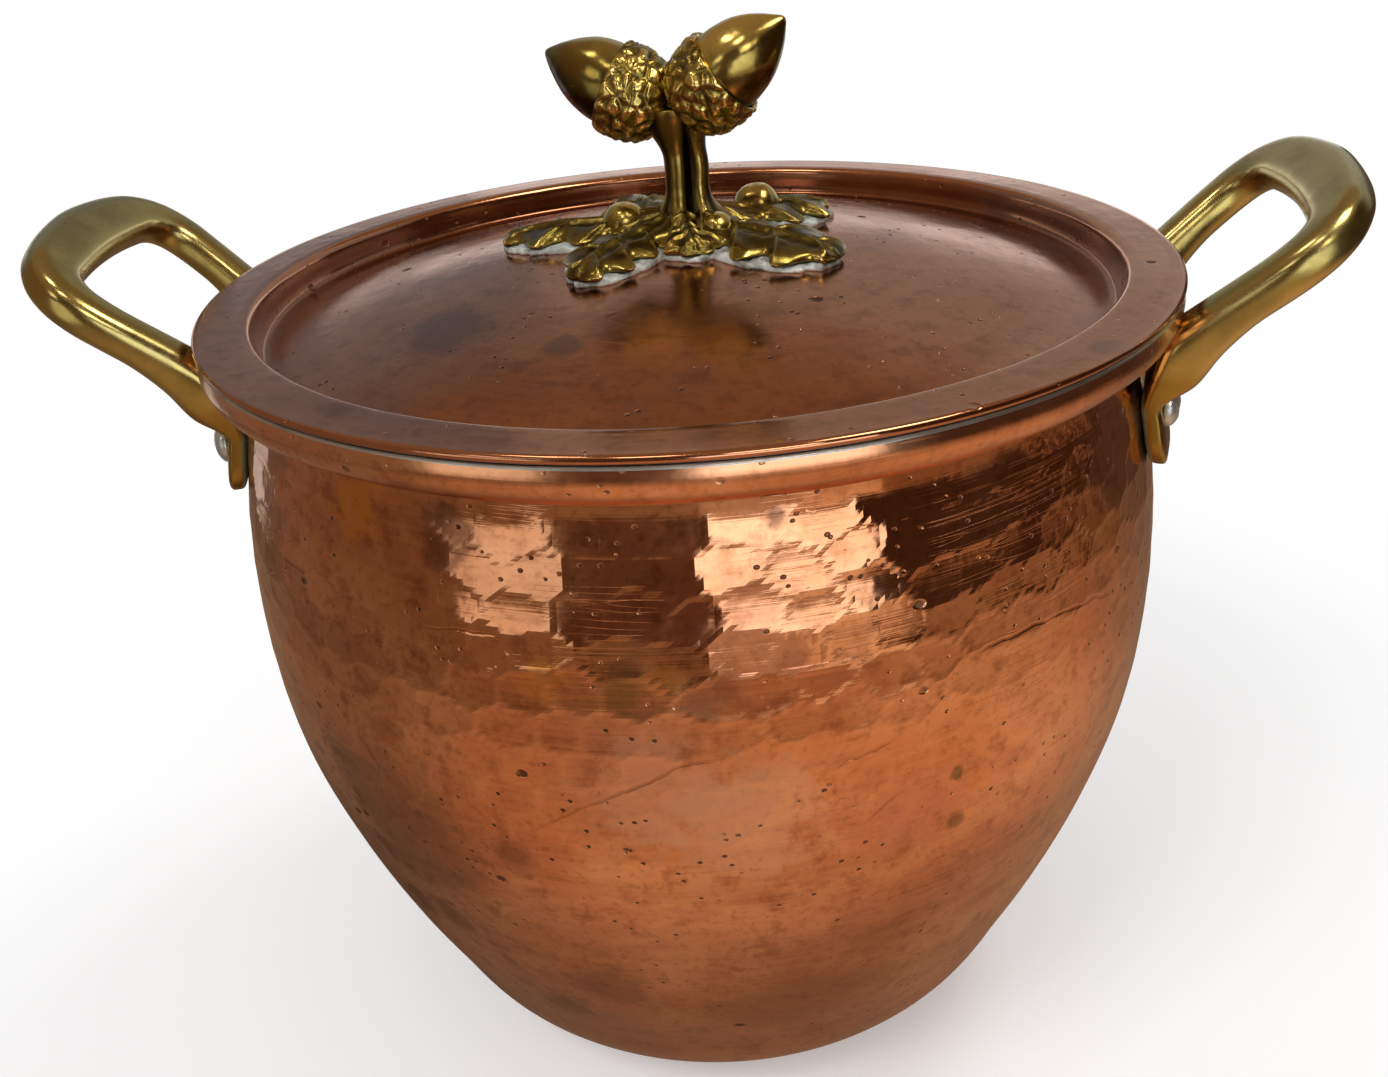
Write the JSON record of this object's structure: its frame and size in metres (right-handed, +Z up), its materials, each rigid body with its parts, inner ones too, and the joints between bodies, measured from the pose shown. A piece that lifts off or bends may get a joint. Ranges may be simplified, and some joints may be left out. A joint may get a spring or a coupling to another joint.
{
  "type": "stockpot",
  "caption": "Round-bellied copper stockpot with a flanged lift-off lid, riveted brass loop handles and an oak-leaf and acorn finial.",
  "frame": {"origin": "centre of the flat base, on the surface the pot stands on", "axes": "+Z up along the pot's axis, X through the two handles, -Y towards the front"},
  "size_m": [0.3236, 0.25, 0.273],
  "materials": {
    "copper_body": "softly hammered, brushed copper with brown stains",
    "copper_lid": "brushed copper with a purplish brown patina",
    "cast_brass": "polished cast brass with satin wear",
    "old_brass": "dark antique brass",
    "rivet_metal": "dull silver",
    "solder": "dull pale grey-green"
  },
  "bodies": {
    "pot": {"pot_body": "copper_body", "handle_left": "cast_brass", "handle_right": "cast_brass", "rivet_left_front": "rivet_metal", "rivet_left_back": "rivet_metal", "rivet_right_front": "rivet_metal", "rivet_right_back": "rivet_metal"},
    "lid": {"lid": "copper_lid", "solder_bed": "solder", "leaf_left": "old_brass", "leaf_front_left": "old_brass", "leaf_front_small": "old_brass", "leaf_front_right": "old_brass", "leaf_back_right": "old_brass", "leaf_back_left": "old_brass", "berry_left": "old_brass", "berry_front": "old_brass", "berry_back_right": "old_brass", "twig_left": "old_brass", "acorn_cup_left": "old_brass", "acorn_nut_left": "old_brass", "twig_right": "old_brass", "acorn_cup_right": "old_brass", "acorn_nut_right": "old_brass"}
  },
  "joints": [
    {"name": "lid_lift", "type": "slide", "parent": "pot", "child": "lid", "axis": [0, 0, 1], "range_m": [0, 0.15]}
  ]
}
